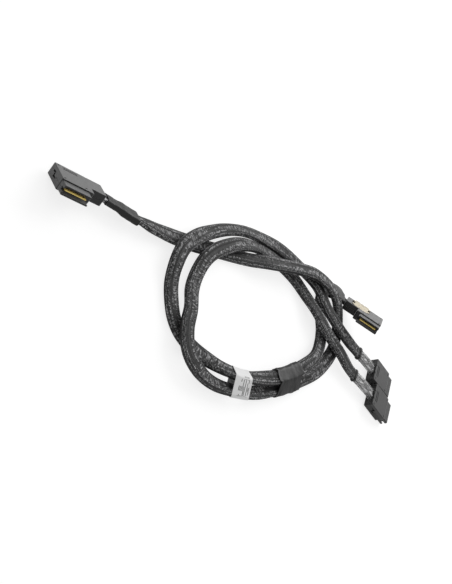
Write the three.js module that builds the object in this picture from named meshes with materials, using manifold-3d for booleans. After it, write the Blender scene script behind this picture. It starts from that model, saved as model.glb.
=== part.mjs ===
// Twin internal storage cable: four 36-contact plugs on two flat cables in braided sleeve.
// Millimetres, +Z up. The cable lies on the surface z = 0 in the loops it was laid down in.
// Strand A runs from side-exit plug 1 to straight plug 1, strand B from side-exit plug 2 to
// straight plug 2. Plug axes: X across the nose, Y from the cable end to the nose tip,
// Z towards the latch, with the origin in the middle of the cable exit.
import * as THREE from "three";
import Module from "manifold-3d";
import { mergeVertices } from "three/addons/utils/BufferGeometryUtils.js";

const wasm = await Module();
wasm.setup();

// Clearances
const fitGap = 0.3;
const pastFace = 1;

// Plug bodies
const plugThick = 8.6;
const sideLength = 36.3;
const sideDepth = 21;
const blockLength = 12.3;
const blockDepth = 14.5;
const straightWidth = 22.6;
const straightDepth = 22.5;
const edgeChamfer = 0.45;
const cornerRadius = 0.9;

// Nose
const noseWidth = 20.2;
const noseThick = 6.8;
const noseReach = 6.8;
const noseMargin = 0.3;
const noseWall = 1;
const mouthDepth = 8;
const keyWidth = 3.2;

// Seam between the shells
const seamStep = 1.2;
const lowSeamTo = 8.8;
const highSeamTo = 13.2;
const slotWidth = 1.4;
const slotDepth = 1.3;
const slotArm = 3.4;

// Paddle card and its contacts
const cardWidth = 15.6;
const cardThick = 1;
const tipRecess = 1.1;
const cardBack = 13.3;
const contactsPerSide = 18;
const contactPitch = 0.8;
const contactWidth = 0.46;
const contactLength = 4.6;
const contactRise = 0.12;
const contactSetback = 0.5;

// Latch plate, measured from the back edge of the plug
const latchSheet = 0.5;
const latchStand = 1.5;
const latchHalf = 6.6;
const prongReach = 1.9;
const prongWidth = 1.7;
const prongSetbacks = [2.4, 6.4];
const padBack = 2.6;
const padFront = 5.5;
const bendAt = 13.2;
const hingeAt = 16.3;
const footFront = 16.9;
const footDrop = 1.1;
const recessDepth = 1.55;
const rearNotch = 1.1;
const frontNotch = 1.6;
const sideLatch = { latchMid: -14, footMid: -17, footHalf: 3.6 };
const straightLatch = { latchMid: 0, footMid: 0, footHalf: 5 };
const recessMargin = 0.5;
const footSlotOverlap = 1.6;

// Small marks in the moulding
const dimpleRadius = 0.8;
const dimpleDepth = 0.25;
const grooveWidth = 0.8;
const grooveDepth = 0.5;
const notchWidth = 1.6;
const notchDepth = 0.6;
const notchShares = [0.28, 0.62];
const dimpleInset = 2.2;
const grooveBacks = [3, 4.9];
const grooveHalf = 5.5;

// Flat cables
const ribbonWidth = 9.4;
const ribbonThick = 1.4;
const wiresPerRibbon = 8;
const ribbonInside = 3;
const ribbonStep = 12;

// Sleeve, shrink tubes and boots
const sleeveWidth = 11.6;
const sleeveThick = 5.2;
const sleeveSides = 12;
const sleeveRoundness = 0.6;
const sleeveStep = 19;
const sharpestTurn = 0.35;
const sleeveSqueeze = 0.74;
const squeezeLength = 6;
const squeezeEase = 14;
const tubeRoundness = 0.35;
const shrinkWall = 0.5;
const shrinkStep = 6;
const shrinkFlare = 1.2;
const bandLength = 3.2;
const bandWall = 0.6;
const bootWall = 0.45;
const midShrinkWall = 0.6;
const labelWall = 0.35;
const skinSides = 20;
const skinGap = 0.9;
const innerRing = 0.5;

// Stretches along the strands, from each cable exit
const sideLead = 4;
const sideTails = { one: 26, two: 17 };
const straightTails = { one: 26, two: 22 };
const midShrinkFrom = 389;
const midShrinkTo = 421;
const labelFrom = 452;
const labelTo = 470;

// Materials
const moulding = { color: 0x2b2b2d, roughness: 0.45, metalness: 0 };
const steel = { color: 0xd8d2c4, roughness: 0.35, metalness: 1 };
const goldOnGreen = { color: 0xb99a4a, roughness: 0.4, metalness: 0.6 };
const ribbonFilm = { color: 0x5a5b60, roughness: 0.3, metalness: 0.1 };
const braid = { color: 0x3a3a3c, roughness: 0.8, metalness: 0 };
const shrinkTube = { color: 0x1d1d1f, roughness: 0.5, metalness: 0 };
const clearFilm = { color: 0x8c8e92, roughness: 0.15, metalness: 0 };
const paper = { color: 0xf2f2f0, roughness: 0.7, metalness: 0 };

// Where the plugs lie: x, y and the turn, tip and lean in degrees. The second straight plug lies
// beside the first, further back.
const sidePlaces = {
  one: [-107.3, -116.5, -121.3, 35.9, 180],
  two: [20.5, 126.9, -172, 19.5, 34],
};
const straightPlace = { x: 103, y: 116, turn: -55 };
const plugsApart = 0.52;
const plugStagger = 6.518;
const plugSplay = 1.3;

// Where the strands lie: x, y, z and the roll of the flat sleeve in degrees.
// The ends of each route come from the plugs.
const strandA = [
  [-98.7, -104.6, 7.2, -36], [-91.5, -95.1, 6.7, -36], [-80.7, -78, 5.6, -30], [-70.6, -56.7, 3.4, -5],
  [-60.8, -34.8, 2.9, 0], [-53.8, -17.1, 2.9, 0], [-47.1, -1.1, 3.2, -4], [-39.6, 15.8, 5.2, -14],
  [-32.6, 32.5, 10.2, -12], [-21.1, 63.5, 12.4, -12], [-11.7, 84.4, 13.3, -10], [2, 99.5, 12.9, -8],
  [16.7, 108.3, 9.2, -2], [32.1, 108.1, 4.2, 0], [45.1, 98.1, 2.9, 0], [55.7, 82.8, 2.9, 0],
  [62.7, 55.4, 3, 0], [62.3, 25, 4.1, 2], [58.7, -6.2, 5.4, 14], [53.5, -34.1, 5.9, 34],
  [45.1, -54.1, 5.9, 34], [34.5, -71.5, 6.6, 16], [21.8, -83.3, 8.8, 2], [7.1, -86.7, 9.4, 0],
  [-7.5, -81.1, 9.6, 0], [-19.6, -69.1, 8, 0], [-32.2, -58.7, 5.4, -4], [-42.7, -48.7, 7.4, -2],
  [-50.6, -35.7, 9.6, 0], [-53.7, -18.7, 9.8, 0], [-53, 4.6, 9.4, -14], [-46.7, 28.6, 6, -24],
  [-31.7, 51.6, 3.4, -6], [-15.2, 66.9, 2.9, 0], [2.9, 73.5, 4.6, 0], [19.9, 74.9, 9, 0],
  [38.5, 79.1, 9.4, 0], [57.4, 87.5, 9.2, 0], [75.9, 97.2, 6.8, 0],
];
const strandB = [
  [14.3, 123.1, 5.1, 8], [8.3, 117.3, 4.3, 0], [4.9, 109.3, 3.4, 0], [6.7, 99.9, 2.9, 0],
  [13.4, 91.9, 2.9, 0], [23.9, 85.9, 2.9, 0], [35.5, 79.7, 3, 0], [44.7, 68.9, 4.4, 0],
  [51.5, 48.7, 9, 0], [53.1, 22.3, 10.2, 0], [51.9, 0.5, 11.2, 4], [47.9, -18.7, 11, 18],
  [40.5, -40.1, 10.2, 34], [29.5, -56.7, 8.6, 26], [18.9, -66.3, 4.8, 8], [7.3, -75.3, 2.9, 0],
  [-4.9, -82, 2.9, 0], [-16.7, -83.3, 2.9, 0], [-28.9, -80.1, 3, 0], [-41.2, -74.5, 3.6, 0],
  [-52.3, -68.1, 7.6, 0], [-61.7, -56.9, 9.6, 0], [-66.3, -40.6, 9.4, -4], [-67.5, -19.4, 7.8, -22],
  [-66.2, 2.2, 6.4, -30], [-61.1, 22.8, 5.8, -28], [-51.4, 44.6, 4, -14], [-39.9, 63.1, 2.9, -2],
  [-23.5, 79.1, 3.2, 0], [-2.3, 89.1, 7.6, 0], [20.2, 90.7, 9.4, 0], [40.1, 98.9, 9.4, 0],
  [57.2, 110.9, 7.6, 0],
];

const turned = THREE.MathUtils.degToRad;
const straightTilt = Math.atan2(latchStand, straightDepth - padFront);

// Solids from closed meshes and back
function solidOf(geometry) {
  const bare = geometry.clone();
  bare.deleteAttribute("normal");
  bare.deleteAttribute("uv");
  const merged = mergeVertices(bare, 1e-4);
  const vertProperties = new Float32Array(merged.attributes.position.array);
  const triVerts = new Uint32Array(merged.index.array);
  return new wasm.Manifold(new wasm.Mesh({ numProp: 3, vertProperties, triVerts }));
}

function geometryOf(solid) {
  const { vertProperties, triVerts } = solid.getMesh();
  const geometry = new THREE.BufferGeometry();
  geometry.setAttribute("position", new THREE.BufferAttribute(new Float32Array(vertProperties), 3));
  geometry.setIndex(new THREE.BufferAttribute(new Uint32Array(triVerts), 1));
  geometry.computeVertexNormals();
  return geometry;
}

// Profiles extruded along each axis
const flat = { bevelEnabled: false, curveSegments: 3 };

function alongZ(shape, from, to) {
  return new THREE.ExtrudeGeometry(shape, { ...flat, depth: to - from }).translate(0, 0, from);
}

function alongY(shape, from, to) {
  return new THREE.ExtrudeGeometry(shape, { ...flat, depth: to - from })
    .rotateX(Math.PI / 2)
    .translate(0, to, 0);
}

function alongX(shape, from, to) {
  const turn = new THREE.Matrix4().set(0, 0, 1, from, 1, 0, 0, 0, 0, 1, 0, 0, 0, 0, 0, 1);
  return new THREE.ExtrudeGeometry(shape, { ...flat, depth: to - from }).applyMatrix4(turn);
}

function roundedOutline(corners, radius) {
  const shape = new THREE.Shape();
  const points = corners.map(([x, y]) => new THREE.Vector2(x, y));
  points.forEach((corner, i) => {
    const before = points.at(i - 1).clone().sub(corner).setLength(radius).add(corner);
    const after = points[(i + 1) % points.length].clone().sub(corner).setLength(radius).add(corner);
    if (i === 0) shape.moveTo(before.x, before.y);
    else shape.lineTo(before.x, before.y);
    shape.quadraticCurveTo(corner.x, corner.y, after.x, after.y);
  });
  shape.closePath();
  return shape;
}

function roundedBox(x0, x1, y0, y1, radius) {
  return roundedOutline([[x0, y0], [x1, y0], [x1, y1], [x0, y1]], radius);
}

function block(x0, x1, y0, y1, z0, z1) {
  return new THREE.BoxGeometry(x1 - x0, y1 - y0, z1 - z0)
    .translate((x0 + x1) / 2, (y0 + y1) / 2, (z0 + z1) / 2);
}

function joined(first, ...rest) {
  return rest.reduce((sum, geometry) => sum.add(solidOf(geometry)), solidOf(first));
}

function without(solid, cuts) {
  return cuts.reduce((left, geometry) => left.subtract(solidOf(geometry)), solid);
}

// The two plug forms: each gives its outline, where its nose and latch sit and how its cable leaves
const sideBack = -blockDepth / 2;
const sideForm = {
  back: sideBack,
  bodyFront: sideBack + sideDepth,
  left: -sideLength,
  right: 0,
  outline: [
    [-sideLength, sideBack], [0, sideBack], [0, sideBack + blockDepth],
    [-blockLength, sideBack + blockDepth], [-blockLength, sideBack + sideDepth],
    [-sideLength, sideBack + sideDepth],
  ],
  noseMid: -sideLength + noseMargin + noseWidth / 2,
  ...sideLatch,
  exit: new THREE.Vector3(1, 0, 0),
  leadStep: sideLead,
};
const straightForm = {
  back: 0,
  bodyFront: straightDepth,
  left: -straightWidth / 2,
  right: straightWidth / 2,
  outline: [
    [-straightWidth / 2, 0], [straightWidth / 2, 0],
    [straightWidth / 2, straightDepth], [-straightWidth / 2, straightDepth],
  ],
  noseMid: 0,
  ...straightLatch,
  exit: new THREE.Vector3(0, -1, 0),
  leadStep: 2 * sideLead,
};

// Whole housing: body with chamfered edges, nose, mouth, card slot and cable tunnel
function housing(form) {
  const half = plugThick / 2;
  const body = new THREE.ExtrudeGeometry(roundedOutline(form.outline, cornerRadius), {
    curveSegments: 3,
    depth: plugThick - 2 * edgeChamfer,
    bevelEnabled: true,
    bevelThickness: edgeChamfer,
    bevelSize: edgeChamfer,
    bevelOffset: -edgeChamfer,
    bevelSegments: 2,
  }).translate(0, 0, edgeChamfer - half);
  const noseTip = form.bodyFront + noseReach;
  const noseLeft = form.noseMid - noseWidth / 2;
  const noseRight = form.noseMid + noseWidth / 2;
  const noseHalf = noseThick / 2;
  const nose = alongY(
    roundedBox(noseLeft, noseRight, -noseHalf, noseHalf, cornerRadius),
    form.bodyFront - pastFace, noseTip,
  );
  const mouthHalf = noseHalf - noseWall;
  const mouth = alongY(
    roundedBox(noseLeft + noseWall, noseRight - noseWall, -mouthHalf, mouthHalf, noseWall / 2),
    noseTip - mouthDepth, noseTip + pastFace,
  );
  // One end of the nose is open between its two walls, and the other is keyed
  const openEnd = block(noseRight - 2 * noseWall, noseRight + pastFace,
    form.bodyFront + fitGap, noseTip + pastFace, -mouthHalf, mouthHalf);
  const key = block(noseLeft - pastFace, noseLeft + noseWall + fitGap,
    noseTip - keyWidth, noseTip + pastFace, -mouthHalf / 2, mouthHalf / 2);
  const slotHalf = cardWidth / 2 + fitGap;
  const cardSlot = block(form.noseMid - slotHalf, form.noseMid + slotHalf,
    form.back + cardBack - fitGap, noseTip - mouthDepth + pastFace,
    -cardThick / 2 - fitGap, cardThick / 2 + fitGap);
  return without(joined(body, nose), [mouth, openEnd, key, cardSlot, tunnel(form)]);
}

// The passage that the flat cables take from the exit to the card
function tunnel(form) {
  const high = ribbonThick + 2 * fitGap;
  const wide = ribbonWidth / 2 + 2 * fitGap;
  if (form.exit.x) {
    return block(form.left + 2 * noseWall, form.right + pastFace, -wide, wide, -high, high);
  }
  return block(-wide, wide, form.back - pastFace, form.back + cardBack - fitGap - pastFace / 2,
    -high, high);
}

// Room for the latch: a recess under the plate and a slot under the front bridge for its foot
function latchRoom(form) {
  const top = plugThick / 2;
  const floor = top - recessDepth;
  const reach = latchHalf + prongReach + recessMargin;
  const footMiddle = top - footDrop;
  const footRoom = latchSheet / 2 + fitGap;
  const bridgeBack = form.back + bendAt + fitGap;
  return [
    alongZ(roundedBox(form.latchMid - reach, form.latchMid + reach,
      form.back + padBack - 2 * fitGap, bridgeBack, cornerRadius / 2), floor, top + pastFace),
    block(form.footMid - form.footHalf - fitGap, form.footMid + form.footHalf + fitGap,
      bridgeBack - footSlotOverlap, form.back + footFront + fitGap,
      footMiddle - footRoom, footMiddle + footRoom),
  ];
}

// The seam steps up and down across the plug, so that the shells lock into each other
function seamSide(form, side) {
  const gap = side * fitGap / 2;
  const low = form.back + lowSeamTo;
  const high = form.back + highSeamTo;
  const far = side * (plugThick + pastFace);
  const seam = [
    [form.back - pastFace, gap - seamStep], [low - gap, gap - seamStep],
    [low - gap, gap + seamStep], [high + gap, gap + seamStep], [high + gap, gap],
    [form.bodyFront + noseReach + pastFace, gap],
  ];
  const last = seam.at(-1)[0];
  const outline = [...seam, [last, far], [form.back - pastFace, far]];
  const shape = new THREE.Shape(outline.map(([x, y]) => new THREE.Vector2(x, y)));
  return solidOf(alongX(shape, form.left - pastFace, form.right + pastFace));
}

// The wider Z where the seam steps, open in the end walls of the plug
function interlockSlots(form) {
  const w = slotWidth / 2;
  const y = form.back + lowSeamTo;
  const outline = [
    [y - slotArm, -seamStep - w], [y + w, -seamStep - w], [y + w, seamStep - w],
    [y + slotArm, seamStep - w], [y + slotArm, seamStep + w], [y - w, seamStep + w],
    [y - w, -seamStep + w], [y - slotArm, -seamStep + w],
  ];
  const shape = new THREE.Shape(outline.map(([a, b]) => new THREE.Vector2(a, b)));
  const closedEnd = alongX(shape, form.left - pastFace, form.left + slotDepth);
  if (form.exit.x) return [closedEnd];
  return [closedEnd, alongX(shape, form.right - slotDepth, form.right + pastFace)];
}

// Ejector dimples on both broad faces, notches in the back edge and grooves across the base
function mouldMarks(form) {
  const half = plugThick / 2;
  const spots = [
    [form.left + dimpleInset, form.back + dimpleInset],
    [form.left + dimpleInset, form.bodyFront - dimpleInset],
    [form.noseMid + noseWidth / 2 - dimpleInset, form.bodyFront - dimpleInset],
  ];
  const dimples = spots.flatMap(([x, y]) => [-half, half].map((z) =>
    new THREE.CylinderGeometry(dimpleRadius, dimpleRadius, 2 * dimpleDepth, 10)
      .rotateX(Math.PI / 2)
      .translate(x, y, z)));
  const notches = notchShares.map((share) => {
    const x = THREE.MathUtils.lerp(form.left, form.right, share);
    return block(x, x + notchWidth, form.back - pastFace, form.back + notchDepth,
      -half - pastFace, -half + 2 * notchDepth);
  });
  const grooves = grooveBacks.map((setback) => block(
    form.noseMid - grooveHalf, form.noseMid + grooveHalf,
    form.back + setback, form.back + setback + grooveWidth,
    -half - pastFace, -half + grooveDepth));
  return [...dimples, ...notches, ...grooves];
}

function shells(form) {
  const whole = without(housing(form), [
    ...latchRoom(form), ...interlockSlots(form), ...mouldMarks(form),
  ]);
  return {
    latchShell: geometryOf(whole.intersect(seamSide(form, 1))),
    baseShell: geometryOf(whole.intersect(seamSide(form, -1))),
  };
}

// Printed card with its rows of plated contacts on both faces
function paddleCard(form) {
  const tip = form.bodyFront + noseReach - tipRecess;
  const half = cardThick / 2;
  const bevel = half / 2;
  const edge = new THREE.Shape([
    [form.back + cardBack, -half], [tip - bevel, -half], [tip, -bevel], [tip, bevel],
    [tip - bevel, half], [form.back + cardBack, half],
  ].map(([y, z]) => new THREE.Vector2(y, z)));
  const card = alongX(edge, form.noseMid - cardWidth / 2, form.noseMid + cardWidth / 2);
  const contacts = [];
  for (let i = 0; i < contactsPerSide; i += 1) {
    const x = form.noseMid + (i - (contactsPerSide - 1) / 2) * contactPitch;
    const from = tip - bevel - contactSetback - contactLength;
    contacts.push(block(x - contactWidth / 2, x + contactWidth / 2, from, from + contactLength,
      -half - contactRise, half + contactRise));
  }
  return geometryOf(joined(card, ...contacts));
}

// Outline of a bent strip: its middle line with half the sheet on each side
function stripOutline(line, thickness) {
  const points = line.map(([y, z]) => new THREE.Vector2(y, z));
  const sideOf = (sign) => points.map((point, i) => {
    const into = point.clone().sub(points[Math.max(i - 1, 0)]).normalize();
    const out = points[Math.min(i + 1, points.length - 1)].clone().sub(point).normalize();
    const way = into.add(out).normalize();
    const normal = new THREE.Vector2(-way.y, way.x);
    return point.clone().addScaledVector(normal, sign * thickness / 2);
  });
  return new THREE.Shape([...sideOf(-1), ...sideOf(1).reverse()]);
}

// Latch: a stamped and bent plate with two prongs at each end, its foot under the front bridge
function latch(form) {
  const top = plugThick / 2;
  const foot = top - footDrop;
  const pad = top + latchStand - latchSheet / 2;
  const line = [
    [form.back + padBack, pad], [form.back + padFront, pad],
    [form.back + bendAt, foot], [form.back + footFront, foot],
  ];
  const reach = latchHalf + prongReach;
  const bent = alongX(
    stripOutline(line, latchSheet), form.latchMid - reach, form.latchMid + reach);
  const stamped = new THREE.Shape();
  const at = (x, y) => [form.latchMid + x, form.back + y];
  const edge = [];
  for (const setback of prongSetbacks) {
    edge.push([latchHalf, padBack + setback], [reach, padBack + setback]);
    edge.push([reach, padBack + setback + prongWidth], [latchHalf, padBack + setback + prongWidth]);
  }
  const right = [[rearNotch, padBack - pastFace], [rearNotch, padBack + rearNotch],
    [2 * rearNotch, padBack + rearNotch], [2 * rearNotch, padBack - pastFace],
    [latchHalf, padBack - pastFace], ...edge, [latchHalf, bendAt - frontNotch]];
  const footX = form.footMid - form.latchMid;
  const outline = [
    ...right,
    [footX + form.footHalf, bendAt - frontNotch], [footX + form.footHalf, footFront + pastFace],
    [footX - form.footHalf, footFront + pastFace], [footX - form.footHalf, bendAt - frontNotch],
    ...right.map(([x, y]) => [-x, y]).reverse(),
  ].filter(([x, y], i, all) => i === 0 || x !== all[i - 1][0] || y !== all[i - 1][1]);
  outline.forEach(([x, y], i) => (i ? stamped.lineTo(...at(x, y)) : stamped.moveTo(...at(x, y))));
  stamped.closePath();
  const blank = alongZ(stamped, foot - latchSheet, top + latchStand + pastFace);
  return geometryOf(solidOf(bent).intersect(solidOf(blank)));
}

// A strand's route: a smooth curve through its points, with the sleeve's roll carried along
class Route {
  constructor(points) {
    this.curve = new THREE.CatmullRomCurve3(
      points.map(([x, y, z]) => new THREE.Vector3(x, y, z)), false, "catmullrom", 0.5);
    this.curve.arcLengthDivisions = 40 * points.length;
    this.rolls = new THREE.CatmullRomCurve3(
      points.map((point) => new THREE.Vector3(point[3], 0, 0)), false, "catmullrom", 0.5);
    this.length = this.curve.getLength();
  }

  frame(distance) {
    const u = THREE.MathUtils.clamp(distance / this.length, 0, 1);
    const middle = this.curve.getPointAt(u);
    const travel = this.curve.getTangentAt(u);
    const roll = turned(this.rolls.getPoint(this.curve.getUtoTmapping(u)).x);
    const left = new THREE.Vector3(0, 0, 1).cross(travel).normalize();
    const up = travel.clone().cross(left);
    const wide = left.multiplyScalar(Math.cos(roll)).addScaledVector(up, Math.sin(roll));
    return { middle, travel, wide, thick: travel.clone().cross(wide) };
  }

  // Distances along the route for the rings of a solid: far apart on the straight, closer in bends
  stations(from, to, longest) {
    const slices = Math.max(2, Math.ceil(to - from));
    const slice = (to - from) / slices;
    const reached = [0];
    let before = this.frame(from).travel;
    for (let i = 1; i <= slices; i += 1) {
      const { travel } = this.frame(from + i * slice);
      reached.push(reached.at(-1) + Math.max(slice / longest, before.angleTo(travel) / sharpestTurn));
      before = travel;
    }
    const count = Math.max(1, Math.round(reached.at(-1)));
    return Array.from({ length: count + 1 }, (_, ring) => {
      const wanted = reached.at(-1) * ring / count;
      const i = Math.min(Math.max(reached.findIndex((value) => value >= wanted - 1e-9), 1), slices);
      const share = (wanted - reached[i - 1]) / (reached[i] - reached[i - 1]);
      return from + slice * (i - 1 + share);
    });
  }

  nearest(point) {
    let best = 0;
    for (let distance = 0; distance <= this.length; distance += 0.5) {
      const here = this.frame(distance).middle.distanceTo(point);
      if (here < this.frame(best).middle.distanceTo(point)) best = distance;
    }
    return best;
  }
}

// A section pulled along part of a route; swell scales it by the distance from the start
function alongRoute(route, from, to, shape, longest, swell = () => 1, lift = 0) {
  const stations = route.stations(from, to, longest);
  const steps = stations.length - 1;
  const geometry = new THREE.ExtrudeGeometry(shape, { ...flat, steps, depth: steps });
  const place = geometry.attributes.position;
  for (let i = 0; i < place.count; i += 1) {
    const distance = stations[Math.round(place.getZ(i))];
    const { middle, wide, thick } = route.frame(distance);
    const size = swell(distance - from, to - from);
    middle.addScaledVector(wide, place.getX(i) * size);
    middle.addScaledVector(thick, place.getY(i) * size + lift);
    place.setXYZ(i, middle.x, middle.y, middle.z);
  }
  geometry.computeVertexNormals();
  return geometry;
}

// Sections across a strand
function flatSection(width, thick, roundness, sides = sleeveSides) {
  const bulge = (value) => Math.sign(value) * Math.abs(value) ** roundness;
  return new THREE.Shape(Array.from({ length: sides }, (_, i) => {
    const angle = 2 * Math.PI * (i + 0.5) / sides;
    return new THREE.Vector2(width / 2 * bulge(Math.cos(angle)), thick / 2 * bulge(Math.sin(angle)));
  }));
}

function tubeSection(width, thick, wall) {
  const shape = flatSection(width + 2 * wall, thick + 2 * wall, tubeRoundness);
  shape.holes.push(flatSection(width, thick, tubeRoundness));
  return shape;
}

// Wires lie side by side, so both faces of a ribbon are scalloped
function ribbonSection() {
  const pitch = ribbonWidth / wiresPerRibbon;
  const valley = 0.62 * ribbonThick / 2;
  const face = [];
  for (let i = 0; i <= wiresPerRibbon; i += 1) {
    const x = i * pitch - ribbonWidth / 2;
    face.push(new THREE.Vector2(x, valley));
    if (i < wiresPerRibbon) {
      face.push(new THREE.Vector2(x + pitch * 0.3, ribbonThick / 2));
      face.push(new THREE.Vector2(x + pitch * 0.7, ribbonThick / 2));
    }
  }
  const underside = face.map((point) => new THREE.Vector2(point.x, -point.y));
  return new THREE.Shape([...underside, ...face.reverse()]);
}

// A skin stretched round both strands; each of its corners is the outermost point in one direction
function skinRound(first, second, from, to, wall, step) {
  const steps = Math.max(2, Math.round((to - from) / step));
  const ring = new THREE.Shape(circlePoints(1));
  ring.holes.push(new THREE.Path(circlePoints(innerRing)));
  const geometry = new THREE.ExtrudeGeometry(ring, { ...flat, steps, depth: to - from });
  const place = geometry.attributes.position;
  const round = sleeveThick / 2;
  const reach = sleeveWidth / 2 - round;
  for (let i = 0; i < place.count; i += 1) {
    const x = place.getX(i);
    const y = place.getY(i);
    const a = first.frame(from + place.getZ(i));
    const b = second.frame(second.nearest(a.middle));
    const travel = a.travel.clone().add(b.travel).normalize();
    const left = new THREE.Vector3(0, 0, 1).cross(travel).normalize();
    const up = travel.clone().cross(left);
    const way = left.multiplyScalar(x).addScaledVector(up, y).normalize();
    const clear = round + skinGap + (Math.hypot(x, y) > (1 + innerRing) / 2 ? wall : 0);
    let outermost = null;
    for (const { middle, wide } of [a, b]) {
      for (const sign of [-1, 1]) {
        const corner = middle.clone().addScaledVector(wide, sign * reach);
        corner.addScaledVector(travel, a.middle.clone().sub(corner).dot(travel));
        if (!outermost || corner.dot(way) > outermost.dot(way)) outermost = corner;
      }
    }
    outermost.addScaledVector(way, clear);
    place.setXYZ(i, outermost.x, outermost.y, outermost.z);
  }
  geometry.computeVertexNormals();
  return geometry;
}

function circlePoints(radius) {
  return Array.from({ length: skinSides }, (_, i) => {
    const angle = 2 * Math.PI * (i + 0.5) / skinSides;
    return new THREE.Vector2(radius * Math.cos(angle), radius * Math.sin(angle));
  });
}

const harness = new THREE.Group();

function addMesh(parent, name, geometry, finish) {
  const mesh = new THREE.Mesh(geometry, new THREE.MeshStandardMaterial(finish));
  mesh.name = name;
  parent.add(mesh);
  return mesh;
}

// A plug laid down: turned about Z, then tipped about X and Y, with its lowest corner on the surface
function layPlug(name, form, x, y, turn, tip, lean) {
  const plug = new THREE.Group();
  const { latchShell, baseShell } = shells(form);
  addMesh(plug, `${name}_latch_shell`, latchShell, moulding);
  addMesh(plug, `${name}_base_shell`, baseShell, moulding);
  addMesh(plug, `${name}_paddle_card`, paddleCard(form), goldOnGreen);
  const hinge = new THREE.Vector3(form.footMid, form.back + hingeAt, plugThick / 2 - footDrop);
  const plate = latch(form).translate(-hinge.x, -hinge.y, -hinge.z);
  addMesh(plug, `${name}_latch`, plate, steel).position.copy(hinge);
  plug.rotation.set(turned(tip), turned(lean), turned(turn), "ZXY");
  plug.position.set(x, y, 0);
  harness.add(plug);
  plug.updateMatrixWorld(true);
  plug.position.z = -new THREE.Box3().setFromObject(plug, true).min.z;
  plug.updateMatrixWorld(true);
  return plug;
}

// Points inside, at and just outside a plug's cable exit, level with the cable's own roll
function exitPoints(plug, form, steps, roll) {
  return steps.map((count) => {
    const spot = plug.localToWorld(form.exit.clone().multiplyScalar(count * form.leadStep));
    return [spot.x, spot.y, spot.z, roll];
  });
}

const sidePlug1 = layPlug("side_plug_1", sideForm, ...sidePlaces.one);
const sidePlug2 = layPlug("side_plug_2", sideForm, ...sidePlaces.two);
const tiltDegrees = THREE.MathUtils.radToDeg(straightTilt);
const beside = new THREE.Vector2(straightWidth + plugsApart, plugStagger)
  .rotateAround(new THREE.Vector2(), turned(straightPlace.turn + 180))
  .add(new THREE.Vector2(straightPlace.x, straightPlace.y));
const straightPlug1 = layPlug(
  "straight_plug_1", straightForm, straightPlace.x, straightPlace.y, straightPlace.turn,
  -tiltDegrees, 180);
const straightPlug2 = layPlug(
  "straight_plug_2", straightForm, beside.x, beside.y, straightPlace.turn + plugSplay,
  -tiltDegrees, 180);

const routeA = new Route([
  ...exitPoints(sidePlug1, sideForm, [-ribbonInside, -2, -1, 0], -36),
  ...strandA,
  ...exitPoints(straightPlug1, straightForm, [1, 0, -1], 0),
]);
const routeB = new Route([
  ...exitPoints(sidePlug2, sideForm, [-ribbonInside, -2, -1, 0], 23),
  ...strandB,
  ...exitPoints(straightPlug2, straightForm, [1, 0, -1], 0),
]);

// One strand with everything on it, from its side-exit plug to its straight plug
function addStrand(letter, number, route, sideTail, straightTail) {
  const sideExit = ribbonInside * sideLead;
  const straightExit = route.length - 2 * sideLead;
  const sleeveFrom = sideExit + sideTail;
  const sleeveTo = straightExit - straightTail;
  const ends = [
    [`side_plug_${number}`, 0, sleeveFrom - fitGap],
    [`straight_plug_${number}`, sleeveTo + fitGap, route.length],
  ];
  for (const [name, from, to] of ends) {
    const lift = (ribbonThick + fitGap) / 2;
    const upper = alongRoute(route, from, to, ribbonSection(), ribbonStep, undefined, lift);
    const lower = alongRoute(route, from, to, ribbonSection(), ribbonStep, undefined, -lift);
    addMesh(harness, `${name}_ribbon_upper`, upper, ribbonFilm);
    addMesh(harness, `${name}_ribbon_lower`, lower, ribbonFilm);
  }
  const boreWidth = ribbonWidth + 3 * fitGap;
  const boreThick = 2 * ribbonThick + 4 * fitGap;
  const flare = (along, length) => THREE.MathUtils.lerp(
    1, shrinkFlare,
    THREE.MathUtils.smoothstep(along, length - 3 * squeezeLength, length - 2 * squeezeLength));
  addMesh(harness, `side_plug_${number}_heat_shrink`, alongRoute(
    route, sideExit + sideLead, sleeveFrom + squeezeLength - fitGap,
    tubeSection(boreWidth, boreThick, shrinkWall), shrinkStep, flare), shrinkTube);
  addMesh(harness, `straight_plug_${number}_boot`, alongRoute(
    route, sleeveTo + fitGap, straightExit - fitGap,
    tubeSection(boreWidth, boreThick, bootWall), shrinkStep), clearFilm);
  addMesh(harness, `straight_plug_${number}_end_band`, alongRoute(
    route, sleeveTo - bandLength, sleeveTo,
    tubeSection(
      sleeveWidth * sleeveSqueeze + 3 * fitGap, sleeveThick * sleeveSqueeze + 3 * fitGap, bandWall),
    bandLength), shrinkTube);
  const squeeze = (along, length) => {
    const fromEnd = Math.min(along, length - along);
    const eased = THREE.MathUtils.smoothstep(fromEnd, squeezeLength, squeezeLength + squeezeEase);
    return THREE.MathUtils.lerp(sleeveSqueeze, 1, eased);
  };
  addMesh(harness, `sleeve_${letter}`, alongRoute(
    route, sleeveFrom, sleeveTo, flatSection(sleeveWidth, sleeveThick, sleeveRoundness),
    sleeveStep, squeeze), braid);
}

addStrand("a", 1, routeA, sideTails.one, straightTails.one);
addStrand("b", 2, routeB, sideTails.two, straightTails.two);

addMesh(harness, "mid_heat_shrink",
  skinRound(routeA, routeB, midShrinkFrom, midShrinkTo, midShrinkWall, shrinkStep), shrinkTube);
addMesh(harness, "wrap_label",
  skinRound(routeA, routeB, labelFrom, labelTo, labelWall, shrinkStep), paper);

harness.updateMatrixWorld(true);

export default harness;
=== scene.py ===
import math

import bpy
import numpy as np
from mathutils import Matrix, Vector


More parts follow.
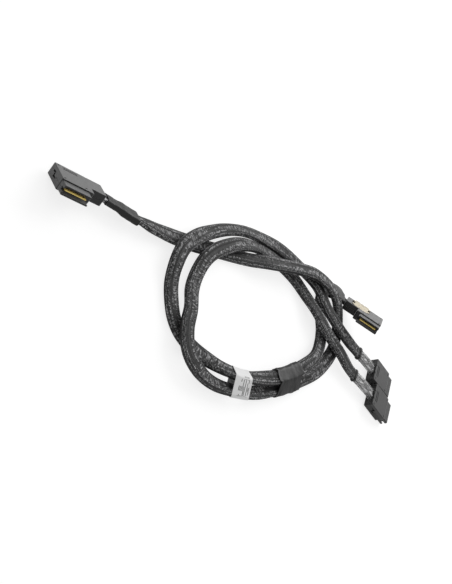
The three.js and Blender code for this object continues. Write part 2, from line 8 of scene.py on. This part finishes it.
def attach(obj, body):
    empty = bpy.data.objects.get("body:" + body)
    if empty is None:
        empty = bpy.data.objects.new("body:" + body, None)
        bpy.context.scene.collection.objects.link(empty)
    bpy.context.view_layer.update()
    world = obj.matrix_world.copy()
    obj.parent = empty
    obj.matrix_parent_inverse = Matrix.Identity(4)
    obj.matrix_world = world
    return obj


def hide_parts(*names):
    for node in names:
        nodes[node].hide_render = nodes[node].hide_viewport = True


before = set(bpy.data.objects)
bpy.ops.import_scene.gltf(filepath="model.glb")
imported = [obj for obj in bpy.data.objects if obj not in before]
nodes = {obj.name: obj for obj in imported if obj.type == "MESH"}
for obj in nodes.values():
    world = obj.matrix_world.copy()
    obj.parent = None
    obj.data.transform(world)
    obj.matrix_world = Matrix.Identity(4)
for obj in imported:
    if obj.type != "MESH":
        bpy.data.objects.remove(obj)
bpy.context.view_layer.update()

mm = 0.001
held = "cable_set"          # everything but the latches rides on this body
floorGap = 0.1
sharpAngle = math.radians(55)
rng = np.random.default_rng(7)

# Camera, as the photo was taken: from 40 degrees up, turned on its side
camera = {
    "place": (-0.0221, -0.4791, 0.3815),
    "right": (0.3238, 0.6032, 0.7289),
    "up": (-0.9461, 0.2064, 0.2494),
    "lens": 49.34,
    "filmHeight": 36.0,
}
lens = bpy.data.cameras.new("camera")
lens.sensor_fit = "VERTICAL"
lens.sensor_height = camera["filmHeight"]
lens.lens = camera["lens"]
right = Vector(camera["right"]).normalized()
back = right.cross(Vector(camera["up"])).normalized()
up = back.cross(right)
viewer = bpy.data.objects.new("camera", lens)
turned = Matrix((right, up, back)).transposed().to_4x4()
viewer.matrix_world = Matrix.Translation(camera["place"]) @ turned
bpy.context.scene.collection.objects.link(viewer)
bpy.context.scene.camera = viewer
print("camera placed")


# Shader maths: a socket that can stand in an expression
class Sock:
    def __init__(self, tree, link):
        self.tree = tree
        self.link = link

    def maths(self, operation, *values):
        return addNode(self.tree, "ShaderNodeMath", {"operation": operation}, dict(enumerate(values)))

    def __add__(self, other):
        return self.maths("ADD", self, other)

    def __radd__(self, other):
        return self.maths("ADD", other, self)

    def __sub__(self, other):
        return self.maths("SUBTRACT", self, other)

    def __rsub__(self, other):
        return self.maths("SUBTRACT", other, self)

    def __mul__(self, other):
        return self.maths("MULTIPLY", self, other)

    def __rmul__(self, other):
        return self.maths("MULTIPLY", other, self)

    def __gt__(self, other):
        return self.maths("GREATER_THAN", self, other)

    def __lt__(self, other):
        return self.maths("LESS_THAN", self, other)

    def take(self, operation):
        return self.maths(operation, self)


def addNode(tree, kind, settings=None, inputs=None, out=0):
    made = tree.nodes.new(kind)
    for key, value in (settings or {}).items():
        setattr(made, key, value)
    for key, value in (inputs or {}).items():
        if isinstance(value, Sock):
            tree.links.new(value.link, made.inputs[key])
        else:
            made.inputs[key].default_value = value
    return Sock(tree, made.outputs[out])


class Finish:
    def __init__(self, name, **fixed):
        self.material = bpy.data.materials.new(name)
        self.material.use_nodes = True
        self.tree = self.material.node_tree
        self.shader = self.tree.nodes["Principled BSDF"]
        for key, value in fixed.items():
            self.shader.inputs[key.replace("_", " ")].default_value = value

    def node(self, kind, settings=None, inputs=None, out=0):
        return addNode(self.tree, kind, settings, inputs, out)

    def feed(self, **links):
        for key, value in links.items():
            self.tree.links.new(value.link, self.shader.inputs[key.replace("_", " ")])

    def mix(self, share, low, high):
        return self.node("ShaderNodeMix", {"data_type": "RGBA"}, {0: share, 6: low, 7: high}, 2)

    def coordinates(self, kind):
        return self.node("ShaderNodeTexCoord", out=kind)

    def split(self, vector):
        parts = self.node("ShaderNodeSeparateXYZ", inputs={0: vector}).link.node
        return [Sock(self.tree, parts.outputs[i]) for i in range(3)]

    def vector(self, x, y, z=0.0):
        return self.node("ShaderNodeCombineXYZ", inputs={0: x, 1: y, 2: z})

    def noise(self, where, scale, detail=3.0):
        return self.node("ShaderNodeTexNoise", inputs={"Vector": where, "Scale": scale, "Detail": detail})

    def dice(self, where):
        return self.node("ShaderNodeTexWhiteNoise", {"noise_dimensions": "2D"}, {"Vector": where})

    def bump(self, height, strength, distance):
        self.feed(Normal=self.node("ShaderNodeBump", inputs={
            "Height": height, "Strength": strength, "Distance": distance}))


def grey(value, blue=0.0):
    return (value, value, value + blue, 1)


# Plugs, in millimetres as they lie: middle of the cable exit, then the axes across the nose,
# towards its tip and towards the latch
plugs = {
    "side_plug_1": ((-107.3, -116.5, 7.55), (0.51952, 0.85446, 0), (0.69215, -0.42083, 0.58637),
                    (0.50103, -0.30463, -0.81004)),
    "side_plug_2": ((20.5, 126.9, 5.406), (-0.79499, -0.30023, -0.52712), (0.13119, -0.93347, 0.33381),
                    (-0.59227, 0.19622, 0.78149)),
    "straight_plug_1": ((103, 116, 6.261), (-0.57358, 0.81915, 0), (0.81598, 0.57136, -0.08789),
                        (-0.072, -0.05041, -0.99613)),
    "straight_plug_2": ((84.4, 131.2, 6.261), (-0.59201, 0.80593, 0), (0.80281, 0.58972, -0.08789),
                        (-0.07084, -0.05203, -0.99613)),
}
# Strands, in millimetres as they lie: x, y, z and the roll of the flat sleeve in degrees
pointsA = [
    (-98.7, -104.6, 7.2, -36), (-91.5, -95.1, 6.7, -36), (-80.7, -78, 5.6, -30), (-70.6, -56.7, 3.4, -5),
    (-60.8, -34.8, 2.9, 0), (-53.8, -17.1, 2.9, 0), (-47.1, -1.1, 3.2, -4), (-39.6, 15.8, 5.2, -14),
    (-32.6, 32.5, 10.2, -12), (-21.1, 63.5, 12.4, -12), (-11.7, 84.4, 13.3, -10), (2, 99.5, 12.9, -8),
    (16.7, 108.3, 9.2, -2), (32.1, 108.1, 4.2, 0), (45.1, 98.1, 2.9, 0), (55.7, 82.8, 2.9, 0),
    (62.7, 55.4, 3, 0), (62.3, 25, 4.1, 2), (58.7, -6.2, 5.4, 14), (53.5, -34.1, 5.9, 34),
    (45.1, -54.1, 5.9, 34), (34.5, -71.5, 6.6, 16), (21.8, -83.3, 8.8, 2), (7.1, -86.7, 9.4, 0),
    (-7.5, -81.1, 9.6, 0), (-19.6, -69.1, 8, 0), (-32.2, -58.7, 5.4, -4), (-42.7, -48.7, 7.4, -2),
    (-50.6, -35.7, 9.6, 0), (-53.7, -18.7, 9.8, 0), (-53, 4.6, 9.4, -14), (-46.7, 28.6, 6, -24),
    (-31.7, 51.6, 3.4, -6), (-15.2, 66.9, 2.9, 0), (2.9, 73.5, 4.6, 0), (19.9, 74.9, 9, 0),
    (38.5, 79.1, 9.4, 0), (57.4, 87.5, 9.2, 0), (75.9, 97.2, 6.8, 0),
]
pointsB = [
    (14.3, 123.1, 5.1, 8), (8.3, 117.3, 4.3, 0), (4.9, 109.3, 3.4, 0), (6.7, 99.9, 2.9, 0),
    (13.4, 91.9, 2.9, 0), (23.9, 85.9, 2.9, 0), (35.5, 79.7, 3, 0), (44.7, 68.9, 4.4, 0),
    (51.5, 48.7, 9, 0), (53.1, 22.3, 10.2, 0), (51.9, 0.5, 11.2, 4), (47.9, -18.7, 11, 18),
    (40.5, -40.1, 10.2, 34), (29.5, -56.7, 8.6, 26), (18.9, -66.3, 4.8, 8), (7.3, -75.3, 2.9, 0),
    (-4.9, -82, 2.9, 0), (-16.7, -83.3, 2.9, 0), (-28.9, -80.1, 3, 0), (-41.2, -74.5, 3.6, 0),
    (-52.3, -68.1, 7.6, 0), (-61.7, -56.9, 9.6, 0), (-66.3, -40.6, 9.4, -4), (-67.5, -19.4, 7.8, -22),
    (-66.2, 2.2, 6.4, -30), (-61.1, 22.8, 5.8, -28), (-51.4, 44.6, 4, -14), (-39.9, 63.1, 2.9, -2),
    (-23.5, 79.1, 3.2, 0), (-2.3, 89.1, 7.6, 0), (20.2, 90.7, 9.4, 0), (40.1, 98.9, 9.4, 0),
    (57.2, 110.9, 7.6, 0),
]


# How far each route runs on past the cable exits, along the plugs' axes
exits = {
    "sideSteps": (-12, -8, -4, 0), "sideAxis": 1,
    "straightSteps": (-8, 0, 8), "straightAxis": 2,
    "divisions": 40,
}


def exitPoints(plug, axis, steps, roll):
    place = np.array(plugs[plug][0])
    way = np.array(plugs[plug][axis])
    return [(*(place + way * step), roll) for step in steps]


class Strand:
    def __init__(self, number, middle, roll):
        side = exitPoints(f"side_plug_{number}", exits["sideAxis"], exits["sideSteps"], roll)
        straight = exitPoints(
            f"straight_plug_{number}", exits["straightAxis"], exits["straightSteps"], 0)
        points = np.array(side + middle + straight, float)
        padded = np.vstack([2 * points[:1] - points[1:2], points, 2 * points[-1:] - points[-2:-1]])
        t = np.linspace(0, 1, exits["divisions"], endpoint=False)[:, None]
        rows = []
        for i in range(len(points) - 1):
            a, b, c, d = padded[i:i + 4]
            start = (c - a) / 2
            stop = (d - b) / 2
            rows.append(b + start * t + (3 * c - 3 * b - 2 * start - stop) * t ** 2
                        + (2 * b - 2 * c + start + stop) * t ** 3)
        self.fine = np.vstack(rows + [points[-1:]])
        gaps = np.linalg.norm(np.diff(self.fine[:, :3], axis=0), axis=1)
        self.reach = np.concatenate([[0], np.cumsum(gaps)])
        self.length = self.reach[-1]

    def at(self, along):
        return np.array([np.interp(along, self.reach, self.fine[:, k]) for k in range(4)]).T

    def frames(self, along):
        here = self.at(along)
        travel = unit(self.at(along + 1)[:, :3] - self.at(along - 1)[:, :3])
        left = unit(np.cross([0, 0, 1], travel))
        above = np.cross(travel, left)
        roll = np.radians(here[:, 3:])
        wide = left * np.cos(roll) + above * np.sin(roll)
        return here[:, :3], travel, wide, np.cross(travel, wide)

    def nearest(self, spots):
        gaps = np.linalg.norm(self.fine[None, :, :3] - spots[:, None], axis=2)
        return self.reach[gaps.argmin(axis=1)]


def unit(rows):
    return rows / np.linalg.norm(rows, axis=-1, keepdims=True)


strandA = Strand(1, pointsA, -36)
strandB = Strand(2, pointsB, 23)


def smooth(value, low, high):
    t = np.clip((value - low) / (high - low), 0, 1)
    return t * t * (3 - 2 * t)


def waves(along, count, longest):
    total = np.zeros_like(along)
    for k in range(count):
        total += np.sin(along * 2 * math.pi / (longest / (k + 1) ** 0.7) + rng.uniform(0, 6.3)) / (k + 1)
    return total / 2


# A closed mesh through rings of points, given in millimetres, with its place along and across as UV
def loft(name, rings, across, along, wrap=False):
    rows, count = rings.shape[:2]
    row, col = np.meshgrid(np.arange(rows if wrap else rows - 1), np.arange(count), indexing="ij")
    nextRow = (row + 1) % rows
    nextCol = (col + 1) % count
    corners = [row * count + col, row * count + nextCol, nextRow * count + nextCol, nextRow * count + col]
    quads = np.stack(corners, -1).reshape(-1, 4)
    u = np.stack([across[col], across[col + 1], across[col + 1], across[col]], -1).reshape(-1, 4)
    v = np.stack([along[row], along[row], along[row + 1], along[row + 1]], -1).reshape(-1, 4)
    verts = rings.reshape(-1, 3) * mm
    a, b, c, d = (verts[quads[:, k]] - verts[0] for k in range(4))
    volume = (np.cross(a, b) * c).sum() + (np.cross(a, c) * d).sum()
    caps = [] if wrap else [list(range(count))[::-1], list(range((rows - 1) * count, rows * count))]
    if volume < 0:
        quads, u, v = quads[:, ::-1], u[:, ::-1], v[:, ::-1]
        caps = [cap[::-1] for cap in caps]
    mesh = bpy.data.meshes.new(name)
    mesh.from_pydata(verts.tolist(), [], quads.tolist() + caps)
    uv = np.zeros((len(mesh.loops), 2), np.float32)
    uv[:quads.size, 0] = u.ravel()
    uv[:quads.size, 1] = v.ravel()
    mesh.uv_layers.new(name="UVMap").data.foreach_set("uv", uv.ravel())
    mesh.shade_smooth()
    mesh.set_sharp_from_angle(angle=sharpAngle)
    piece = bpy.data.objects.new(name, mesh)
    bpy.context.scene.collection.objects.link(piece)
    return piece


def dress(piece, finish, slot, *replaced):
    piece.data.materials.append(finish.material)
    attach(piece, held)
    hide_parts(*replaced)


def outline(sides, roundness):
    angle = 2 * math.pi * (np.arange(sides) + 0.5) / sides
    x, y = np.cos(angle), np.sin(angle)
    return np.sign(x) * np.abs(x) ** roundness, np.sign(y) * np.abs(y) ** roundness


# Sleeves: a flat braid round two layers of eight wires, with painted glints, painted highlight and painted
# shade in its colour
sleeve = {
    "width": 11.6, "thick": 5.2, "roundness": 0.6, "sides": 60, "step": 1.4,
    "sideSqueeze": 0.74, "straightSqueeze": 0.92, "squeezeFrom": 6, "squeezeTo": 20,
    "ridge": 0.13, "wires": 8, "slack": 0.035, "cells": 24, "cellLength": 1.15,
}
braid = Finish("braid", Roughness=0.62)
uAcross, vAlong, _ = braid.split(braid.coordinates("UV"))
firstWay = vAlong + uAcross
secondWay = vAlong - uAcross
cell = braid.dice(braid.vector(firstWay.take("FLOOR"), secondWay.take("FLOOR")))
firstHump = (firstWay.take("FRACT") * math.pi).take("SINE")
secondHump = (secondWay.take("FRACT") * math.pi).take("SINE")
over = ((firstWay.take("FLOOR") + secondWay.take("FLOOR")) * 0.5).take("FRACT") > 0.25
braidHeight = over * firstHump + (1 - over) * secondHump
# Soft lengthwise light areas along the sleeve: painted highlight
highlightBands = braid.noise(braid.vector(uAcross * 0.9, vAlong * 0.025), 1.0, 2.0)
# Pale dots at random weave crossings, only in the light areas: painted glints
glintSpecks = cell * cell * cell * (highlightBands > 0.5)
# Lengthwise light lines, kept to the light areas: painted highlight
highlightStripes = ((uAcross * (2 * math.pi / 3)).take("SINE") * 0.5 + 0.5) * highlightBands
# Level of the painted glints and painted highlight together
shade = 0.8 * glintSpecks + 0.75 * highlightStripes * cell - 0.04
# Darker where the weave is low: painted shade between the strands; the pale end of the mix is painted
# highlight
braidColourWithPaintedLight = braid.mix(shade.maths("MINIMUM", shade, 1.0) * (0.2 + 0.8 * braidHeight),
                        grey(0.008), grey(0.62, 0.01))
braid.feed(Base_Color=braidColourWithPaintedLight)
braid.bump(braidHeight, 0.6, 0.0004)


def addSleeve(name, strand, start, stop, node):
    along = np.linspace(start, stop, int((stop - start) / sleeve["step"]))
    centre, travel, wide, thick = strand.frames(along)
    x, y = outline(sleeve["sides"], sleeve["roundness"])
    fromEnd = np.minimum(along - start, stop - along)
    ease = smooth(fromEnd, sleeve["squeezeFrom"], sleeve["squeezeTo"])
    squeeze = np.where(along - start < stop - along, sleeve["sideSqueeze"], sleeve["straightSqueeze"])
    size = squeeze + (1 - squeeze) * ease
    broad = size * (1 + sleeve["slack"] * waves(along, 5, 90))
    deep = size * (1 + sleeve["slack"] * waves(along, 5, 60))
    ridges = 1 + sleeve["ridge"] / sleeve["thick"] * 2 * np.cos(x * math.pi * sleeve["wires"])
    width = np.outer(broad, x) * sleeve["width"] / 2
    depth = np.outer(deep, y * ridges) * sleeve["thick"] / 2
    rings = centre[:, None] + wide[:, None] * width[..., None] + thick[:, None] * depth[..., None]
    rings[..., 2] = np.maximum(rings[..., 2], floorGap)
    across = np.linspace(0, sleeve["cells"], sleeve["sides"] + 1)
    piece = loft(name, rings, across, along / sleeve["cellLength"])
    dress(piece, braid, "braid_sleeve", node)
    [tuple(row) for row in (centre * mm).tolist()]


# Tubes with a wall, along one strand: shrink tubes, clear boots and end bands
tube = {
    "bore": (10.3, 4.0), "shrinkWall": 0.5, "bootWall": 0.4, "bandWall": 0.45, "bandLength": 1.8,
    "roundness": 0.5, "sides": 48, "step": 0.8,
    "inside": 12, "straightInside": 8, "shrinkStart": 16, "shrinkOverlap": 5.7, "gap": 0.3,
    "flare": 0.2, "flareFrom": 18, "flareTo": 12, "wrinkles": (9, 14), "endSharpness": 5,
    "shrinkRough": 0.02, "shrinkTear": 0.6, "bootRough": 0.012, "bootTear": 0.4,
}
bandBore = [(sleeve[side] * sleeve["straightSqueeze"] + 0.2) for side in ("width", "thick")]


def addTube(name, strand, span, bore, wall, swell, finish, slot, node, rough=0.0, ragged=0.0):
    start, stop = span
    sides = tube["sides"]
    along = np.linspace(start, stop, max(4, int((stop - start) / tube["step"])))
    centre, travel, wide, thick = strand.frames(along)
    x, y = outline(sides, tube["roundness"])
    size = swell(along - start, stop - start)
    turn = np.arange(sides) * 2 * math.pi / sides
    shortWrinkle, longWrinkle = tube["wrinkles"]
    wrinkle = 1 + rough * (np.outer(waves(along, 6, shortWrinkle), np.cos(3 * turn))
                           + np.outer(waves(along, 6, longWrinkle), np.sin(2 * turn)))
    shells = []
    for extra in (wall, 0.0):
        width = np.outer(size, x) * (bore[0] / 2 + extra) * wrinkle
        depth = np.outer(size, y) * (bore[1] / 2 + extra) * wrinkle
        shells.append(centre[:, None] + wide[:, None] * width[..., None] + thick[:, None] * depth[..., None])
    tear = ragged * waves(np.arange(sides, dtype=float), 6, sides / 2)
    endward = np.linspace(-1, 1, len(along)) ** tube["endSharpness"]
    for shell in shells:
        shell += travel[:, None] * (endward[:, None] * tear[None, :])[..., None]
        shell[..., 2] = np.maximum(shell[..., 2], floorGap)
    rings = np.concatenate([shells[0], shells[1][::-1]])
    length = np.concatenate([along, along[::-1], along[:1]])
    piece = loft(name, rings, np.linspace(0, 1, sides + 1), length - start, wrap=True)
    dress(piece, finish, slot, node)
    return piece


def flared(along, length):
    return 1 + tube["flare"] * smooth(along, length - tube["flareFrom"], length - tube["flareTo"])


def even(along, length):
    return np.ones_like(along)


shrinkFinish = Finish("shrink", Base_Color=grey(0.008))
shrinkPlace = shrinkFinish.coordinates("Object")
shrinkFinish.feed(Roughness=0.34 + 0.3 * shrinkFinish.noise(shrinkPlace, 120.0))
shrinkFinish.bump(shrinkFinish.noise(shrinkPlace, 420.0, 4.0), 0.35, 0.0006)

film = Finish("film", Base_Color=grey(0.7), Roughness=0.08)
filmPlace = film.coordinates("Object")
filmU, filmV, _ = film.split(film.coordinates("UV"))
# Pale lengthwise lines along the film, made more opaque: painted reflection
reflectionStreak = film.noise(film.vector(filmU * 26, filmV * 0.11), 1.0, 2.0)
film.feed(Alpha=0.10 + 0.85 * (reflectionStreak > 0.57) * reflectionStreak)
film.bump(film.noise(filmPlace, 260.0, 2.0), 0.5, 0.001)

tails = {
    "a": {"number": 1, "strand": strandA, "side": 26, "straight": 26, "cord": 0.835},
    "b": {"number": 2, "strand": strandB, "side": 17, "straight": 22, "cord": 0.600},
}
for letter, tail in tails.items():
    number = tail["number"]
    strand = tail["strand"]
    straightExit = strand.length - tube["straightInside"]
    sleeveFrom = tube["inside"] + tail["side"]
    sleeveTo = straightExit - tail["straight"]
    far = f"straight_plug_{number}"
    near = f"side_plug_{number}"
    addTube(f"shrink_{letter}", strand, (tube["shrinkStart"], sleeveFrom + tube["shrinkOverlap"]),
            tube["bore"], tube["shrinkWall"], flared, shrinkFinish, "heat_shrink",
            f"{near}_heat_shrink", tube["shrinkRough"], tube["shrinkTear"])
    boot = addTube(f"boot_{letter}", strand, (sleeveTo + tube["gap"], straightExit - tube["gap"]),
                   tube["bore"], tube["bootWall"], even, film, "clear_film", f"{far}_boot",
                   tube["bootRough"], tube["bootTear"])
    band = addTube(f"band_{letter}", strand, (sleeveTo - tube["bandLength"], sleeveTo), bandBore,
                   tube["bandWall"], even, shrinkFinish, "heat_shrink", f"{far}_end_band")
    addSleeve(f"sleeve_{letter}_braid", strand, sleeveFrom, sleeveTo, f"sleeve_{letter}")
    print("strand", letter, "dressed, route", round(strand.length, 1))


# Skins round both strands: each ring holds the outermost point in every direction
skins = {
    "sides": 72, "step": 0.8, "floorGap": 0.08,
    "shrink": {"start": 389, "stop": 421, "clear": 3.6, "wall": 0.6, "lumps": 0.28, "tear": 2.2},
    "label": {"start": 452, "stop": 470, "clear": 3.2, "wall": 0.3, "lumps": 0.12, "slants": (1.6, 2.4)},
}


def ringsRound(start, stop, step, clear, sides):
    along = np.linspace(start, stop, int((stop - start) / step) + 1)
    centreA, travelA, wideA, _ = strandA.frames(along)
    centreB, travelB, wideB, _ = strandB.frames(strandB.nearest(centreA))
    travel = unit(travelA + travelB)
    left = unit(np.cross([0, 0, 1], travel))
    above = np.cross(travel, left)
    angle = 2 * math.pi * (np.arange(sides) + 0.5) / sides
    way = left[:, None] * np.cos(angle)[None, :, None] + above[:, None] * np.sin(angle)[None, :, None]
    reach = (sleeve["width"] - sleeve["thick"]) / 2
    corners = []
    for centre, wide in ((centreA, wideA), (centreB, wideB)):
        for sign in (-1, 1):
            corner = centre + sign * reach * wide
            corners.append(corner + travel * ((centreA - corner) * travel).sum(1, keepdims=True))
    corners = np.stack(corners, 1)
    best = np.einsum("rck,rsk->rsc", corners, way).argmax(axis=2)
    chosen = corners[np.arange(len(along))[:, None], best]
    rings = chosen + way * clear
    for _ in range(2):
        rings = (np.roll(rings, 1, axis=1) + 2 * rings + np.roll(rings, -1, axis=1)) / 4
    return along, rings, way, travel


def addSkin(name, size, tear, finish, slot, node):
    start, stop = size["start"], size["stop"]
    sides = skins["sides"]
    along, rings, way, travel = ringsRound(start, stop, skins["step"], size["clear"], sides)
    turn = np.arange(sides) * 2 * math.pi / sides
    bulge = size["lumps"] * (np.outer(waves(along, 5, 16), np.sin(2 * turn + 1))
                             + np.outer(waves(along, 5, 11), np.cos(5 * turn)))
    rings = rings + way * bulge[..., None]
    endward = (np.linspace(-1, 1, len(along)) ** 3)[:, None]
    rings = rings + travel[:, None] * (np.abs(endward) * tear(turn, endward))[..., None]
    inner = rings - way * size["wall"]
    both = np.concatenate([rings, inner[::-1]])
    both[..., 2] = np.maximum(both[..., 2], skins["floorGap"])
    length = (np.concatenate([along, along[::-1], along[:1]]) - start) / (stop - start)
    piece = loft(name, both, np.linspace(0, 1, sides + 1), length, wrap=True)
    dress(piece, finish, slot, node)
    return piece


raggedA = waves(np.arange(skins["sides"], dtype=float), 8, 30)
raggedB = waves(np.arange(skins["sides"], dtype=float), 8, 24)


def tornEnds(turn, endward):
    tear = skins["shrink"]["tear"]
    return np.where(endward > 0, tear * raggedA, tear * raggedB)


def cutEnds(turn, endward):
    ahead, behind = skins["label"]["slants"]
    return np.where(endward > 0, ahead * np.sin(turn), behind * np.sin(turn + 0.4))


addSkin("middle_shrink", skins["shrink"], tornEnds, shrinkFinish, "heat_shrink", "mid_heat_shrink")

# Label: white, with rows of small marks and a block of squares that mean nothing
label = Finish("label", Roughness=0.5)
markU, markV, _ = label.split(label.coordinates("UV"))
columns = (markU * 90).take("FLOOR")
rows = (markV * 16).take("FLOOR")
marks = label.dice(label.vector(columns, rows)) > 0.52
rowGaps = (markV * 16).take("FRACT") > 0.42
inText = (markU > 0.12) * (markU < 0.22) * (markV > 0.18) * (markV < 0.82)
inBlock = (markU > 0.25) * (markU < 0.31) * (markV > 0.3) * (markV < 0.62)
squares = label.dice(label.vector((markU * 220).take("FLOOR"), (markV * 40).take("FLOOR"))) > 0.5
printed = marks * rowGaps * inText + squares * inBlock
label.feed(Base_Color=label.mix(printed, grey(0.86), grey(0.12)))
addSkin("label_wrap", skins["label"], cutEnds, label, "label_paper", "wrap_label")
print("skins round both strands made")

# Plugs: the housings, cards, latches and cable tails keep their shape and get their finish
plastic = Finish("plastic", Base_Color=grey(0.010), Sheen_Weight=0.7, Sheen_Roughness=0.4)
plasticPlace = plastic.coordinates("Object")
plastic.feed(Roughness=0.26 + 0.14 * plastic.noise(plasticPlace, 90.0))
plastic.bump(plastic.noise(plasticPlace, 2600.0, 2.0), 0.12, 0.0002)

steel = Finish("steel", Base_Color=(0.44, 0.40, 0.32, 1), Metallic=0.85)
steel.feed(Roughness=0.45 + 0.2 * steel.noise(steel.coordinates("Object"), 500.0))

foil = Finish("foil", Metallic=0.35, Roughness=0.2, Coat_Weight=0.5)
foilPlace = foil.coordinates("Object")
# Dark and pale patches in the foil's colour: painted reflection
foil.feed(Base_Color=foil.mix((foil.noise(foilPlace, 340.0, 4.0) - 0.4) * 2.5, grey(0.02), grey(0.5, 0.01)))
foil.bump(foil.noise(foilPlace, 500.0, 3.0), 0.4, 0.0005)


def cardFinish(name, place, normal):
    card = Finish(name + "_card", Roughness=0.32)
    offset = sum(a * b for a, b in zip(place, normal)) * mm
    level = card.node("ShaderNodeVectorMath", {"operation": "DOT_PRODUCT"},
                      {0: card.coordinates("Object"), 1: normal}, "Value")
    plated = (level - offset).take("ABSOLUTE") > 0.52 * mm
    card.feed(Base_Color=card.mix(plated, (0.95, 0.72, 0.2, 1), (1.0, 0.8, 0.34, 1)), Metallic=plated * 0.5)
    return card


def paint(name, finish):
    for place in nodes[name].material_slots:
        place.link = "OBJECT"
        place.material = finish.material


def soften(name, width):
    bevel = nodes[name].modifiers.new("edge", "BEVEL")
    bevel.width = width
    bevel.segments = 2
    bevel.limit_method = "ANGLE"
    bevel.angle_limit = math.radians(40)


for name, (place, _, _, normal) in plugs.items():
    for shell in ("latch_shell", "base_shell"):
        paint(f"{name}_{shell}", plastic)
        soften(f"{name}_{shell}", 0.00012)
    paint(f"{name}_paddle_card", cardFinish(name, place, normal))
    paint(f"{name}_latch", steel)
    soften(f"{name}_latch", 0.00008)
    paint(f"{name}_ribbon_upper", foil)
    paint(f"{name}_ribbon_lower", foil)
print("plugs finished")

# Studio: a pale floor, an even sky and one broad lamp
studio = {
    "floorHalf": 4.0, "glow": 1.25, "floorZ": -0.0002, "floorLift": 0.62, "sky": 0.5,
    "lampPower": 12.0, "lampSize": 1.3, "lampPlace": (-0.35, 1.15, 0.75),
}
half = studio["floorHalf"]
floorMesh = bpy.data.meshes.new("floor")
floorCorners = [(-half, -half), (half, -half), (half, half), (-half, half)]
floorMesh.from_pydata([(x, y, studio["floorZ"]) for x, y in floorCorners], [], [(0, 1, 2, 3)])
floor = bpy.data.objects.new("floor", floorMesh)
bpy.context.scene.collection.objects.link(floor)
paper = Finish("floor", Base_Color=grey(0.93), Roughness=0.9, Specular_IOR_Level=0.1)
seen = paper.node("ShaderNodeLightPath", out="Is Camera Ray")
glow = paper.node("ShaderNodeEmission", inputs={"Color": grey(1.0), "Strength": studio["glow"]})
blend = paper.node("ShaderNodeMixShader", inputs={
    0: seen * studio["floorLift"], 1: Sock(paper.tree, paper.shader.outputs[0]), 2: glow})
paper.tree.links.new(blend.link, paper.tree.nodes["Material Output"].inputs["Surface"])
floorMesh.materials.append(paper.material)

world = bpy.data.worlds.new("sky")
world.use_nodes = True
skyTree = world.node_tree
skySeen = addNode(skyTree, "ShaderNodeLightPath", out="Is Camera Ray")
skyTree.nodes["Background"].inputs["Color"].default_value = grey(1.0)
skyTree.links.new((studio["sky"] + skySeen).link, skyTree.nodes["Background"].inputs["Strength"])
bpy.context.scene.world = world

lampData = bpy.data.lights.new("lamp", "AREA")
lampData.energy = studio["lampPower"]
lampData.shape = "DISK"
lampData.size = studio["lampSize"]
lamp = bpy.data.objects.new("lamp", lampData)
lamp.location = studio["lampPlace"]
lamp.rotation_euler = (-lamp.location).to_track_quat("-Z", "Y").to_euler()
bpy.context.scene.collection.objects.link(lamp)
bpy.context.scene.view_settings.view_transform = "Standard"
print("studio lit")
